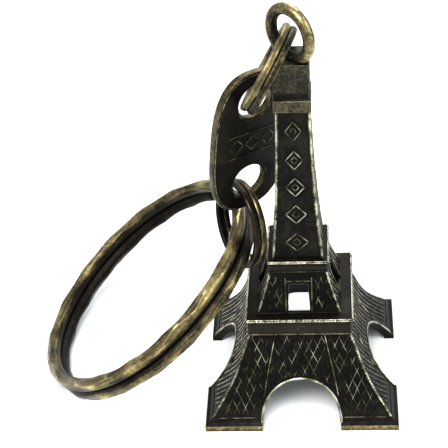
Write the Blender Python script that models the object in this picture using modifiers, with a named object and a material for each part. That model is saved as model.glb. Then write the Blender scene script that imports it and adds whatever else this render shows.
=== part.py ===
"""Souvenir keychain: a cast tower hung on two small split rings, an oval tag and a key ring.

Run with: blender --background --python part.py
Lengths are in millimetres and MM turns them into metres. +Z is up and the tower stands on Z = 0.
The chain is laid out round the tower's own axis, and the assembly is then centred on the floor.
"""
import math

import bmesh
import bpy
from mathutils import Matrix, Vector

MM = 0.001

# ---- Tower: half widths of its square section, and heights -------------------------------------
BASE_HALF = 10.7            # the feet stand on a square of 21.4
PLINTH_HEIGHT = 0.7
DECK_1_HALF, DECK_1_UNDER, DECK_1_TOP = 5.85, 9.85, 11.92
DECK_2_HALF, DECK_2_UNDER, DECK_2_TOP = 3.32, 16.5, 18.0
COLLAR_HALF, COLLAR_UNDER, COLLAR_TOP = 1.95, 36.35, 37.65
HEAD_HALF, HEAD_UNDER, HEAD_TOP = 1.86, 38.65, 41.85
SHAFT_FOOT_HALF, SHAFT_HEAD_HALF = 2.72, 1.72
SHAFT_TAPER = (1.83, 31.5), (2.1, 25.6), (2.45, 20.6)
TIER_2_FOOT_HALF, TIER_2_MIDDLE_HALF, TIER_2_HEAD_HALF = 4.55, 4.0, 3.1
TIER_2_MIDDLE = 13.4
LEG_CURVE = (5.5, 9.7), (6.6, 6.8), (7.7, 4.35), (9.0, 2.5), (9.9, 1.3), (10.3, 0.85)
LIP = 0.4                   # height of the rim round each deck
SHADOW_GAP = 0.2            # how far each deck's side is set back below its rim
CHAMFER = 0.15              # height of the slope under the collar, the head and each rim
WALL = 1.15                 # wall of the hollow casting
HOLLOW_TOP, HOLLOW_TOP_HALF = 16.0, 1.9     # the casting is solid above this
ARCH_HALF_WIDTH, ARCH_SPRING, ARCH_RISE, ARCH_STEPS = 4.3, 0.9, 3.85, 20
WINDOW_HALF_WIDTH, WINDOW_FOOT, WINDOW_HEAD = 1.15, 12.35, 15.1
BELOW = 1.0                 # how far cutters reach beyond the faces they open

# ---- Hanging loop, cast on the tower's head across its diagonal --------------------------------
LOOP_RADIUS, LOOP_WIRE_RADIUS = 2.67, 0.63
LOOP_CENTRE = Vector((0, 0, 44.38))
LOOP_AXIS = Vector((1, 1, 0)).normalized()

# ---- Split rings: mean radius, wire radius and the step from one turn to the next --------------
LINK_RADIUS, LINK_WIRE_RADIUS, LINK_PITCH = 4.64, 0.36, 0.78
KEY_RING_RADIUS, KEY_RING_WIRE_RADIUS, KEY_RING_PITCH = 14.2, 0.8, 1.68
CROSSOVER = math.radians(24)            # arc over which the wire steps from one turn to the next
END_GAP = math.radians(3)               # arc between a wire end and the crossover
LINK_SEGMENTS, KEY_RING_SEGMENTS = 30, 56

# ---- Tag plate: an oval with two round holes ---------------------------------------------------
TAG_HALF_HEIGHT, TAG_HALF_WIDTH, TAG_THICKNESS = 8.8, 4.85, 0.85
TAG_SQUARENESS = 2.85                   # exponent of the oval: 2 is an ellipse, more is squarer
TAG_HOLE_RADIUS, TAG_HOLE_OFFSET = 2.0, 5.2
TAG_EDGE_POINTS, TAG_HOLE_POINTS = 72, 32

# ---- How the chain hangs: each piece's centre and the way its axis or face points --------------
UPPER_LINK_CENTRE, UPPER_LINK_AXIS = Vector((-2.31, 1.16, 39.69)), Vector((0.872, -0.18, -0.455))
TAG_CENTRE, TAG_FACING = Vector((-4.74, 2.15, 30.36)), Vector((0.6, -0.794, -0.095))
TAG_UP = Vector((0.113, -0.031, 0.993))
LOWER_LINK_CENTRE, LOWER_LINK_AXIS = Vector((-6.23, 1.84, 19.47)), Vector((-0.869, -0.479, 0.12))
KEY_RING_CENTRE, KEY_RING_AXIS = Vector((-17.33, 2.53, 10.061)), Vector((-0.605, 0.005, 0.796))
# How far each ring is turned, so that its crossover lies behind the tag
UPPER_LINK_TURN, LOWER_LINK_TURN = math.radians(295), math.radians(145)
KEY_RING_TURN = math.radians(128)

# ---- Finish: colour, metallic and roughness of the antique bronze plating ----------------------
BRONZE = {
    "tower_bronze": ((0.105, 0.085, 0.062), 0.85, 0.48),
    "link_bronze": ((0.22, 0.19, 0.11), 0.95, 0.38),
    "tag_bronze": ((0.075, 0.062, 0.05), 0.85, 0.5),
    "ring_bronze": ((0.24, 0.205, 0.11), 0.95, 0.36),
}


def empty_scene():
    """Remove every object and the collections that held them."""
    for item in list(bpy.data.objects):
        bpy.data.objects.remove(item, do_unlink=True)
    for group in list(bpy.data.collections):
        bpy.data.collections.remove(group)


def new_collection(name):
    group = bpy.data.collections.new(name)
    bpy.context.scene.collection.children.link(group)
    return group


def bronze(name):
    colour, metallic, roughness = BRONZE[name]
    finish = bpy.data.materials.new(name)
    finish.use_nodes = True
    shader = finish.node_tree.nodes["Principled BSDF"]
    shader.inputs["Base Color"].default_value = (*colour, 1)
    shader.inputs["Metallic"].default_value = metallic
    shader.inputs["Roughness"].default_value = roughness
    return finish


def put_in(item, group):
    """Move an object into one collection only."""
    for owner in list(item.users_collection):
        owner.objects.unlink(item)
    group.objects.link(item)
    return item


def frame_of(centre, axis, up=Vector((0, 0, 1)), turn=0.0):
    """A placement whose Z is axis and whose Y leans towards up, then turned about its Z."""
    z = axis.normalized()
    x = up.cross(z).normalized()
    y = z.cross(x)
    facing = Matrix((x, y, z)).transposed().to_4x4()
    return Matrix.Translation(centre * MM) @ facing @ Matrix.Rotation(turn, 4, "Z")


def as_guide(item, group):
    """Keep a cutter out of the model."""
    item.hide_render = True
    item.display_type = "WIRE"
    return put_in(item, group)


def boolean(item, tool, operation):
    cut = item.modifiers.new(f"{operation.lower()} {tool.name}", "BOOLEAN")
    cut.operation = operation
    cut.solver = "EXACT"
    cut.object = tool


def square_turned(name, profile, group):
    """A four-sided body: half widths and heights, top to bottom, turned in four steps."""
    mesh = bpy.data.meshes.new(name)
    shape = bmesh.new()
    corner = math.sqrt(2) * MM
    points = [shape.verts.new((half * corner, 0, height * MM)) for half, height in profile]
    for upper, lower in zip(points, points[1:]):
        shape.edges.new((upper, lower))
    shape.to_mesh(mesh)
    shape.free()
    item = bpy.data.objects.new(name, mesh)
    item.rotation_euler.z = math.radians(45)
    group.objects.link(item)
    turn = item.modifiers.new("four sides", "SCREW")
    turn.steps = turn.render_steps = 4
    turn.use_merge_vertices = True
    turn.merge_threshold = 0.00001
    turn.use_smooth_shade = False
    return item


def tower_profile():
    """Half widths and heights of the casting's outside, from the head down to the feet."""
    return [
        (0, HEAD_TOP), (HEAD_HALF, HEAD_TOP), (HEAD_HALF, HEAD_UNDER),
        (SHAFT_HEAD_HALF, HEAD_UNDER - CHAMFER), (SHAFT_HEAD_HALF, COLLAR_TOP + CHAMFER),
        (COLLAR_HALF, COLLAR_TOP), (COLLAR_HALF, COLLAR_UNDER),
        (SHAFT_HEAD_HALF, COLLAR_UNDER - CHAMFER), *SHAFT_TAPER, (SHAFT_FOOT_HALF, DECK_2_TOP),
        (DECK_2_HALF, DECK_2_TOP), (DECK_2_HALF, DECK_2_TOP - LIP),
        (DECK_2_HALF - SHADOW_GAP, DECK_2_TOP - LIP - CHAMFER),
        (DECK_2_HALF - SHADOW_GAP, DECK_2_UNDER + CHAMFER), (TIER_2_HEAD_HALF, DECK_2_UNDER),
        (TIER_2_MIDDLE_HALF, TIER_2_MIDDLE), (TIER_2_FOOT_HALF, DECK_1_TOP),
        (DECK_1_HALF, DECK_1_TOP), (DECK_1_HALF, DECK_1_TOP - LIP),
        (DECK_1_HALF - SHADOW_GAP, DECK_1_TOP - LIP - CHAMFER),
        (DECK_1_HALF - SHADOW_GAP, DECK_1_UNDER), *LEG_CURVE,
        (BASE_HALF, PLINTH_HEIGHT), (BASE_HALF, 0), (0, 0),
    ]


def hollow_profile():
    """The casting's inside, open below the feet: the outside moved in by the wall and a little down."""
    leg = [(half - WALL, height - WALL / 3) for half, height in LEG_CURVE[:4]]
    return [
        (0, HOLLOW_TOP), (HOLLOW_TOP_HALF, HOLLOW_TOP),
        (TIER_2_FOOT_HALF - WALL, DECK_1_TOP - WALL / 3), *leg,
        (BASE_HALF - WALL, PLINTH_HEIGHT / 2), (BASE_HALF - WALL, -BELOW), (0, -BELOW),
    ]


def arch_cutter(name, group, turn):
    """A bar of arch section that runs through the tower's legs."""
    outline = [(ARCH_HALF_WIDTH, -BELOW)]
    for step in range(ARCH_STEPS + 1):
        angle = math.pi * step / ARCH_STEPS
        rise = ARCH_RISE * math.sin(angle)
        outline.append((ARCH_HALF_WIDTH * math.cos(angle), ARCH_SPRING + rise))
    outline.append((-ARCH_HALF_WIDTH, -BELOW))
    bar = bpy.data.objects.new(name, flat_outline(name, [outline], 2 * (BASE_HALF + BELOW)))
    bar.matrix_world = Matrix.Rotation(turn, 4, "Z") @ Matrix.Rotation(math.radians(90), 4, "X")
    return meshed(bar, group)


def flat_outline(name, outlines, thickness):
    """A 2D curve filled between its outlines: the first is the edge and the others are holes."""
    curve = bpy.data.curves.new(name, "CURVE")
    curve.dimensions = "2D"
    curve.fill_mode = "BOTH"
    curve.extrude = thickness / 2 * MM
    for outline in outlines:
        spline = curve.splines.new("POLY")
        spline.points.add(len(outline) - 1)
        for point, (x, y) in zip(spline.points, outline):
            point.co = (x * MM, y * MM, 0, 1)
        spline.use_cyclic_u = True
    return curve


def meshed(curve_object, group):
    """Turn a curve object into a mesh object with its caps welded."""
    bpy.context.scene.collection.objects.link(curve_object)
    seen = curve_object.evaluated_get(bpy.context.evaluated_depsgraph_get())
    mesh = bpy.data.meshes.new_from_object(seen)
    mesh.name = curve_object.name
    shape = bmesh.new()
    shape.from_mesh(mesh)
    bmesh.ops.remove_doubles(shape, verts=shape.verts, dist=1e-6)
    bmesh.ops.recalc_face_normals(shape, faces=shape.faces)
    shape.to_mesh(mesh)
    shape.free()
    item = bpy.data.objects.new(curve_object.name + "_solid", mesh)
    item.matrix_world = curve_object.matrix_world
    bpy.data.objects.remove(curve_object, do_unlink=True)
    group.objects.link(item)
    return item


def window_cutter(name, group, turn):
    bpy.ops.mesh.primitive_cube_add(size=1)
    bar = bpy.context.object
    bar.name = name
    bar.scale = (2 * WINDOW_HALF_WIDTH * MM, 2 * DECK_1_HALF * MM, (WINDOW_HEAD - WINDOW_FOOT) * MM)
    bar.location.z = (WINDOW_HEAD + WINDOW_FOOT) / 2 * MM
    bar.rotation_euler.z = turn
    return as_guide(bar, group)


def hanging_loop(group):
    bpy.ops.mesh.primitive_torus_add(
        major_segments=40, minor_segments=12,
        major_radius=LOOP_RADIUS * MM, minor_radius=LOOP_WIRE_RADIUS * MM)
    loop = bpy.context.object
    loop.name = "hanging_loop"
    loop.data.shade_smooth()
    loop.matrix_world = frame_of(LOOP_CENTRE, LOOP_AXIS)
    return as_guide(loop, group)


def make_tower(parts, guides):
    """One casting: a square shell, hollow below, with arches, windows and a loop on its head."""
    tower = square_turned("tower", tower_profile(), parts)
    boolean(tower, hanging_loop(guides), "UNION")
    hollow = as_guide(square_turned("hollow", hollow_profile(), guides), guides)
    boolean(tower, hollow, "DIFFERENCE")
    for side, turn in (("front", 0.0), ("side", math.radians(90))):
        boolean(tower, as_guide(arch_cutter(f"{side}_arch", guides, turn), guides), "DIFFERENCE")
        boolean(tower, window_cutter(f"{side}_window", guides, turn), "DIFFERENCE")
    tower.data.materials.append(bronze("tower_bronze"))
    return tower


def split_ring_path(radius, pitch, segments):
    """The wire's middle line: a flat turn, a step across, and a second flat turn."""
    start = CROSSOVER / 2 + END_GAP
    sweep = 4 * math.pi - 2 * start
    count = 2 * segments
    path = []
    for index in range(count + 1):
        angle = start + sweep * index / count
        across = (angle - (2 * math.pi - CROSSOVER / 2)) / CROSSOVER
        across = min(max(across, 0), 1)
        rise = across * across * (3 - 2 * across) - 0.5
        path.append(Vector((radius * math.cos(angle), radius * math.sin(angle), pitch * rise)))
    return path


def split_ring(name, radius, wire_radius, pitch, segments, placement, finish, parts):
    curve = bpy.data.curves.new(name, "CURVE")
    curve.dimensions = "3D"
    curve.bevel_depth = wire_radius * MM
    curve.bevel_resolution = 2
    curve.use_fill_caps = True
    path = split_ring_path(radius, pitch, segments)
    spline = curve.splines.new("POLY")
    spline.points.add(len(path) - 1)
    for point, place in zip(spline.points, path):
        point.co = (*(place * MM), 1)
    spline.use_smooth = True
    ring = bpy.data.objects.new(name, curve)
    ring.matrix_world = placement
    parts.objects.link(ring)
    curve.materials.append(bronze(finish))
    return ring


def oval(half_height, half_width, squareness, count):
    """Points of a rounded oval, wider at its shoulders than an ellipse."""
    points = []
    for index in range(count):
        angle = 2 * math.pi * index / count
        x, y = math.cos(angle), math.sin(angle)
        x = math.copysign(abs(x) ** (2 / squareness), x)
        y = math.copysign(abs(y) ** (2 / squareness), y)
        points.append((half_width * x, half_height * y))
    return points


def make_tag(parts):
    edge = oval(TAG_HALF_HEIGHT, TAG_HALF_WIDTH, TAG_SQUARENESS, TAG_EDGE_POINTS)
    hole = oval(TAG_HOLE_RADIUS, TAG_HOLE_RADIUS, 2, TAG_HOLE_POINTS)
    upper = [(x, y + TAG_HOLE_OFFSET) for x, y in hole]
    lower = [(x, y - TAG_HOLE_OFFSET) for x, y in hole]
    plate = flat_outline("tag_plate", [edge, upper, lower], TAG_THICKNESS)
    tag = bpy.data.objects.new("tag_plate", plate)
    tag.matrix_world = frame_of(TAG_CENTRE, TAG_FACING, TAG_UP)
    parts.objects.link(tag)
    tag.data.materials.append(bronze("tag_bronze"))
    return tag


def crossing(centre, axis, radius, other_centre, other_axis):
    """Where a ring's middle line passes through another ring, on the side nearest its centre."""
    facing = frame_of(Vector(), axis).to_3x3()
    across, along = facing.col[0] * radius, facing.col[1] * radius
    reach = math.hypot(across.dot(other_axis), along.dot(other_axis))
    middle = math.atan2(along.dot(other_axis), across.dot(other_axis))
    spread = math.acos((other_centre - centre).dot(other_axis) / reach)
    points = [
        centre + across * math.cos(angle) + along * math.sin(angle)
        for angle in (middle - spread, middle + spread)]
    return min(points, key=lambda point: (point - other_centre).length)


def ring_tangent(centre, axis, point):
    """The wire's direction at a point of a ring."""
    return axis.cross(point - centre).normalized()


def pivots():
    """Each joint's place and axis: a piece swings round the wire, or the rim, at its contact."""
    loop = LOOP_CENTRE, LOOP_AXIS
    upper_link = UPPER_LINK_CENTRE, UPPER_LINK_AXIS
    key_ring = KEY_RING_CENTRE, KEY_RING_AXIS
    tag = frame_of(Vector(), TAG_FACING, TAG_UP).to_3x3()
    upper_hole = TAG_CENTRE + tag.col[1] * TAG_HOLE_OFFSET
    rim = (TAG_HALF_HEIGHT + TAG_HOLE_OFFSET + TAG_HOLE_RADIUS) / 2
    on_loop = crossing(*loop, LOOP_RADIUS, *upper_link)
    on_upper_link = crossing(*upper_link, LINK_RADIUS, upper_hole, TAG_FACING)
    on_key_ring = crossing(*key_ring, KEY_RING_RADIUS, LOWER_LINK_CENTRE, LOWER_LINK_AXIS)
    return {
        "upper_link": (on_loop, ring_tangent(*loop, on_loop)),
        "tag_plate": (on_upper_link, ring_tangent(*upper_link, on_upper_link)),
        "lower_link": (TAG_CENTRE - tag.col[1] * rim, tag.col[0].copy()),
        "key_ring": (on_key_ring, ring_tangent(*key_ring, on_key_ring)),
    }


def hang(piece, pivot, holder, guides):
    """Parent a piece to an empty on its joint's axis, and the empty to the piece that holds it."""
    place, axis = pivot
    joint = bpy.data.objects.new(piece.name + "_pivot", None)
    joint.empty_display_size = 2 * MM
    guides.objects.link(joint)
    joint.matrix_world = frame_of(place, axis, Vector((0.3, 1, 0.2)))
    bpy.context.view_layer.update()
    joint.parent = holder
    joint.matrix_parent_inverse = holder.matrix_world.inverted()
    piece.parent = joint
    piece.matrix_parent_inverse = joint.matrix_world.inverted()


def centre_on_floor(pieces, guides):
    """Carry the assembly so that the middle of its box's base is at the origin."""
    bpy.context.view_layer.update()
    graph = bpy.context.evaluated_depsgraph_get()
    corners = []
    for piece in pieces:
        seen = piece.evaluated_get(graph)
        mesh = seen.to_mesh()
        corners += [piece.matrix_world @ vertex.co for vertex in mesh.vertices]
        seen.to_mesh_clear()
    low = Vector([min(point[axis] for point in corners) for axis in range(3)])
    high = Vector([max(point[axis] for point in corners) for axis in range(3)])
    carrier = bpy.data.objects.new("keychain_origin", None)
    guides.objects.link(carrier)
    for top in [item for item in bpy.data.objects if item.parent is None and item is not carrier]:
        top.parent = carrier
    carrier.location = (-(low.x + high.x) / 2, -(low.y + high.y) / 2, -low.z)
    bpy.context.view_layer.update()
    return carrier


def build():
    empty_scene()
    parts = new_collection("keychain")
    guides = new_collection("guides")
    tower = make_tower(parts, guides)
    upper_link = split_ring(
        "upper_link", LINK_RADIUS, LINK_WIRE_RADIUS, LINK_PITCH, LINK_SEGMENTS,
        frame_of(UPPER_LINK_CENTRE, UPPER_LINK_AXIS, turn=UPPER_LINK_TURN), "link_bronze", parts)
    tag = make_tag(parts)
    lower_link = split_ring(
        "lower_link", LINK_RADIUS, LINK_WIRE_RADIUS, LINK_PITCH, LINK_SEGMENTS,
        frame_of(LOWER_LINK_CENTRE, LOWER_LINK_AXIS, turn=LOWER_LINK_TURN), "link_bronze", parts)
    key_ring = split_ring(
        "key_ring", KEY_RING_RADIUS, KEY_RING_WIRE_RADIUS, KEY_RING_PITCH, KEY_RING_SEGMENTS,
        frame_of(KEY_RING_CENTRE, KEY_RING_AXIS, turn=KEY_RING_TURN), "ring_bronze", parts)
    joints = pivots()
    chain = [tower, upper_link, tag, lower_link, key_ring]
    for holder, piece in zip(chain, chain[1:]):
        hang(piece, joints[piece.name], holder, guides)
    return centre_on_floor(chain, guides)


build()
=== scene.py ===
"""Looks of the souvenir tower keychain: a cast lattice tower, two split links, an oval tag, a key ring.

Lengths are in millimetres, and MM turns them into metres. Places are measured from the foot of the tower's
axis, and TOWER_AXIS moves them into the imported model's frame: +Z up, the tower's feet on Z = 0, the key
ring towards -X, the front arch facing -Y.
"""
import math
from collections import namedtuple

import bmesh
import bpy
import numpy as np
from mathutils import Matrix, Vector, noise


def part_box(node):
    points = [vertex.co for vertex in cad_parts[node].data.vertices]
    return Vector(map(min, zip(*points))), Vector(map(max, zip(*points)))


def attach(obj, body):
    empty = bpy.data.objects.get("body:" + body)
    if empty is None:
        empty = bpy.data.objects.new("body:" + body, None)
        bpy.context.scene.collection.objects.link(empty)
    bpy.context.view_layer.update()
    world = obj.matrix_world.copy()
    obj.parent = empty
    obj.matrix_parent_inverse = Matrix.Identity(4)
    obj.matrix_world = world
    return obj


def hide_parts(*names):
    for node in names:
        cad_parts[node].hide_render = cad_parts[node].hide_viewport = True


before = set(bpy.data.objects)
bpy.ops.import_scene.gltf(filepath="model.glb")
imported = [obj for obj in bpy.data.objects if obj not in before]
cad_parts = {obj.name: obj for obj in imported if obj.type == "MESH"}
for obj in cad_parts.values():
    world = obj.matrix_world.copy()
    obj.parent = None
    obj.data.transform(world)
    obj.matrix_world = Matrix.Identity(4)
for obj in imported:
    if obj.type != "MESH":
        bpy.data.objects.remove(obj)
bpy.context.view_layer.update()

MM = 0.001
FRONTWARDS, UPWARDS = Vector((0, -1, 0)), Vector((0, 0, 1))

# ---- Where the tower stands: everything hangs from it ------------------------------------------
TOWER_LOW, TOWER_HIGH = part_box("tower")
TOWER_AXIS = Vector(((TOWER_LOW.x + TOWER_HIGH.x) / 2, (TOWER_LOW.y + TOWER_HIGH.y) / 2, 0)) / MM
BASE_HALF = (TOWER_HIGH.x - TOWER_LOW.x) / 2 / MM

# ---- Tower: half widths of its square section, and heights -------------------------------------
PLINTH_TOP, PEDESTAL_TOP = 0.7, 1.3
DECK_1_HALF, DECK_1_UNDER, DECK_1_TOP = 5.85, 9.85, 11.92
DECK_2_HALF, DECK_2_UNDER, DECK_2_TOP = 3.32, 16.5, 18.0
DECK_LIP, DECK_SETBACK = 0.4, 0.2
COLLAR_HALF, COLLAR_UNDER, COLLAR_TOP = 1.95, 36.35, 37.65
NECK_HALF, SHOULDER = 1.72, 0.1
HEAD_HALF, HEAD_UNDER, HEAD_TOP = 1.86, 38.65, 41.85
STEP_SLANT = 0.15
BAND_FROM, BAND_TO, HEAD_FROM = COLLAR_UNDER - 0.1, COLLAR_TOP + 0.05, HEAD_UNDER - 0.2
LEG_CURVE = (10.3, 0.85), (9.9, 1.3), (9.0, 2.5), (7.7, 4.35), (6.6, 6.8), (5.5, 9.75)
TIER_2_CURVE = (4.55, 11.92), (4.0, 13.4), (3.1, 16.45)
SHAFT_CURVE = (2.72, 18.0), (2.45, 20.6), (2.1, 25.6), (1.83, 31.5), (1.72, 36.3)
CORNER_ROUND, EDGE_ROUND, HOLLOW_ROUND = 0.1, 0.12, 0.3
WALL = 1.15
HOLLOW_TOP, HOLLOW_TOP_HALF = 16.0, 1.9
ARCH_HALF_WIDTH, ARCH_SPRING, ARCH_RISE = 4.3, 0.9, 3.85
WINDOW_FOOT_HALF, WINDOW_HEAD_HALF, WINDOW_FOOT, WINDOW_HEAD = 1.22, 0.98, 12.05, 15.1

# Inside, the core slopes from each window down to the arch opposite, so light shows through: the depths
# where the slope starts and ends, and the right half of its (across, height) outline there
SLOPE_DEPTHS = -4.3, 7.45
SLOPE_AT_WINDOW = (1.17, 12.1), (0.98, 14.6), (0.93, 15.0)
SLOPE_AT_ARCH = (1.75, 2.0), (1.75, 4.36), (0.9, 4.63)

# The hanging loop: radius of its middle line, radius of its wire, and its dips as a share of the wire
LOOP_RADIUS, LOOP_WIRE, LOOP_DIP = 2.67, 0.63, 0.035
# How rubbed the loop is, how much brighter it is outside, and how much painted shade darkens one of its
# flanks
LOOP_WEAR, LOOP_OUTSIDE_WEAR, LOOP_SHADE = 0.5, 0.36, 0.5
LOOP_CENTRE, LOOP_AXIS = Vector((0, 0, 44.38)), Vector((1, 1, 0)).normalized()

# ---- Chain -------------------------------------------------------------------------------------
# Split rings: radius of the wire's middle line, radius of the wire, and distance between its two turns
LINK_RADIUS, LINK_WIRE, LINK_PITCH = 4.64, 0.36, 0.78
KEY_RING_RADIUS, KEY_RING_WIRE, KEY_RING_PITCH = 14.2, 0.8, 1.68
LINK_STEPS, LINK_SIDES = 300, 20
KEY_RING_STEPS, KEY_RING_SIDES = 900, 32
# How much of a turn the step from the first turn to the second takes, and the gap to the wire's ends
CROSSOVER, END_GAP = math.radians(24), math.radians(3)
TIP_TAPER = 0.72, 0.93, 1.0
TAG_HALF_HEIGHT, TAG_HALF_WIDTH, TAG_THICKNESS = 8.8, 4.85, 0.85
TAG_SQUARENESS, TAG_HOLE_RADIUS, TAG_HOLE_OFFSET = 2.85, 2.0, 5.2
TAG_BEVEL, TAG_SIDES, TAG_HOLE_SIDES = 0.14, 160, 64


def smooth_curve(points, degree):
    """Half width as a smooth function of height through a few points."""
    halves, heights = zip(*points)
    return np.poly1d(np.polyfit(heights, halves, degree))


LEG = smooth_curve(LEG_CURVE, 4)
TIER_2 = smooth_curve(TIER_2_CURVE, 2)
SHAFT = smooth_curve(SHAFT_CURVE, 3)
LEG_FOOT = LEG_CURVE[0][1]


def placement(centre, axis, up=UPWARDS, turn=0.0):
    """In millimetres: Z along axis, Y leaning towards up, then turned about Z."""
    z = axis.normalized()
    x = up.cross(z).normalized()
    facing = Matrix((x, z.cross(x), z)).transposed().to_4x4()
    return Matrix.Translation(centre + TOWER_AXIS) @ facing @ Matrix.Rotation(turn, 4, "Z")


UPPER_LINK = placement(
    Vector((-2.31, 1.16, 39.69)), Vector((0.872, -0.18, -0.455)), turn=math.radians(295))
TAG = placement(
    Vector((-4.74, 2.15, 30.36)), Vector((0.6, -0.794, -0.095)), up=Vector((0.113, -0.031, 0.993)))
LOWER_LINK = placement(
    Vector((-6.23, 1.84, 19.47)), Vector((-0.869, -0.479, 0.12)), turn=math.radians(145))
KEY_RING = placement(
    Vector((-17.33, 2.53, 10.061)), Vector((-0.605, 0.005, 0.796)), turn=math.radians(128))


# ---- Meshes ------------------------------------------------------------------------------------
class Shape:
    """Vertices in millimetres, faces, and how far each vertex is rubbed down to bright metal; on the loop
    and the key ring that also carries painted light and shade.
    """

    def __init__(self):
        self.points, self.faces, self.wear = [], [], []

    def add(self, points, faces, wear):
        first = len(self.points)
        self.points += [tuple(point) for point in points]
        self.faces += [tuple(first + index for index in face) for face in faces]
        self.wear += list(wear)

    def to_object(self, name, material, sharp=40.0, transform=None):
        """An object in metres, smooth but for edges of more than sharp degrees."""
        mesh = bpy.data.meshes.new(name)
        mesh.from_pydata([Vector(point) * MM for point in self.points], [], self.faces)
        rubbed = mesh.attributes.new("wear", "FLOAT", "POINT")
        rubbed.data.foreach_set("value", np.array(self.wear, dtype=np.float32))
        fixed = bmesh.new()
        fixed.from_mesh(mesh)
        bmesh.ops.recalc_face_normals(fixed, faces=fixed.faces)
        fixed.to_mesh(mesh)
        fixed.free()
        mesh.shade_smooth()
        mesh.set_sharp_from_angle(angle=math.radians(sharp))
        mesh.materials.append(material)
        item = bpy.data.objects.new(name, mesh)
        bpy.context.scene.collection.objects.link(item)
        if transform is not None:
            mesh.transform(transform)
        return item


def tube(shape, rows, wear, closed=False):
    """Join rows of points (each a closed loop) into a closed surface. closed joins the last row to the
    first, and otherwise both ends are capped."""
    count = len(rows[0])
    points = [point for row in rows for point in row]
    faces = []
    spans = len(rows) if closed else len(rows) - 1
    for row in range(spans):
        here, there = row * count, (row + 1) % len(rows) * count
        for column in range(count):
            across = (column + 1) % count
            faces.append((here + column, here + across, there + across, there + column))
    if not closed:
        faces.append(tuple(range(count - 1, -1, -1)))
        faces.append(tuple(range((len(rows) - 1) * count, len(rows) * count)))
    shape.add(points, faces, wear)


def rough(point, size, seed=0.0):
    """Smooth noise from about -1 to 1 with features of the given size in millimetres."""
    return noise.noise(Vector(point) / size + Vector((seed, 0.37 * seed, -seed)))


def clamped(value):
    return min(max(value, 0.0), 1.0)


# ---- Raised lines ------------------------------------------------------------------------------
# wear is how rubbed a line is, patchy how unevenly, and bead the (pitch, depth) of the beads along it
Line = namedtuple("Line", "width height wear patchy bead", defaults=(None,))

# A line's section: across as a share of its width, up as a share of its height, and rubbed how much
DOME = (
    (-0.5, -0.6, 0.0), (-0.46, 0.35, 0.45), (-0.22, 0.9, 0.95), (0.0, 1.0, 1.0),
    (0.22, 0.9, 0.95), (0.46, 0.35, 0.45), (0.5, -0.6, 0.0))
RIDGE = (-0.5, -0.5, 0.1), (-0.16, 0.85, 1.0), (0.16, 0.85, 1.0), (0.5, -0.5, 0.1)
UNEVENNESS, END_TAPER = 0.12, 0.35


def bar_rows(points, normals, line, section=DOME):
    """Sections of a line cast on a surface, and how rubbed each of their points is."""
    points = [Vector(point) for point in points]
    normals = [Vector(normal).normalized() for normal in normals]
    rows, worn, along = [], [], 0.0
    for index, (point, normal) in enumerate(zip(points, normals)):
        before, after = points[max(index - 1, 0)], points[min(index + 1, len(points) - 1)]
        if index:
            along += (point - points[index - 1]).length
        side = (after - before).cross(normal).normalized()
        swell = 1.0
        if line.bead:
            pitch, depth = line.bead
            swell -= depth * (1 - abs(math.sin(math.pi * along / pitch)))
        swell *= 1 + UNEVENNESS * rough(point, 0.8, 3.0)
        rows.append([
            point + side * across * line.width * swell
            + normal * up * line.height * (swell if up > 0 else 1)
            for across, up, _ in section])
        # Rubbed in patches, and most where a bead stands up
        shade = line.wear * (1 + 1.8 * line.patchy * rough(point, 0.9, 7.0)) * (0.55 + 0.45 * swell)
        worn += [clamped(shade * rubbed) for _, _, rubbed in section]
    return rows, worn


def bar(shape, points, normals, line, section=DOME):
    """A raised line with tapered ends."""
    rows, worn = bar_rows(points, normals, line, section)
    for end in (0, -1):
        middle = sum(rows[end], Vector()) / len(rows[end])
        rows[end] = [middle.lerp(point, END_TAPER) for point in rows[end]]
    tube(shape, rows, worn)


def straight(start, end, step):
    """Evenly spaced points from start to end."""
    start, end = np.array(start, float), np.array(end, float)
    count = max(int(np.linalg.norm(end - start) / step), 1)
    return [tuple(start + (end - start) * index / count) for index in range(count + 1)]


def lozenge_sides(across, height, wide, tall):
    """The four sides of a lozenge round a middle, each as its two ends."""
    corners = [
        (across + wide, height), (across, height + tall), (across - wide, height),
        (across, height - tall), (across + wide, height)]
    return zip(corners, corners[1:])


# ---- The tower's outside -----------------------------------------------------------------------
def half_at(height):
    """Half width of the tower's plain faces at a height."""
    if height < PLINTH_TOP:
        return BASE_HALF
    if height < DECK_1_UNDER:
        return float(LEG(max(height, LEG_FOOT)))
    if height < DECK_1_TOP:
        return DECK_1_HALF - DECK_SETBACK
    if height < DECK_2_UNDER:
        return float(TIER_2(height))
    if height < DECK_2_TOP:
        return DECK_2_HALF - DECK_SETBACK
    return float(SHAFT(min(height, COLLAR_UNDER)))


def quarter_turn(side):
    """From the front, side 0, round to another of the four sides."""
    return Matrix.Rotation(side * math.pi / 2, 3, "Z")


def on_face(side, across, height):
    """A point on one of the four faces, and that face's outward normal there."""
    step, steepest = 0.05, 3
    slope = (half_at(height + step) - half_at(height - step)) / (2 * step)
    if abs(slope) > steepest:
        slope = 0.0
    point, normal = Vector((across, -half_at(height), height)), Vector((0, -1, -slope)).normalized()
    return quarter_turn(side) @ point + TOWER_AXIS, quarter_turn(side) @ normal


def face_bar(shape, side, path, line, section=DOME):
    """A bar along (across, height) points of a face."""
    points, normals = zip(*(on_face(side, across, up) for across, up in path))
    bar(shape, points, normals, line, section)


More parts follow.
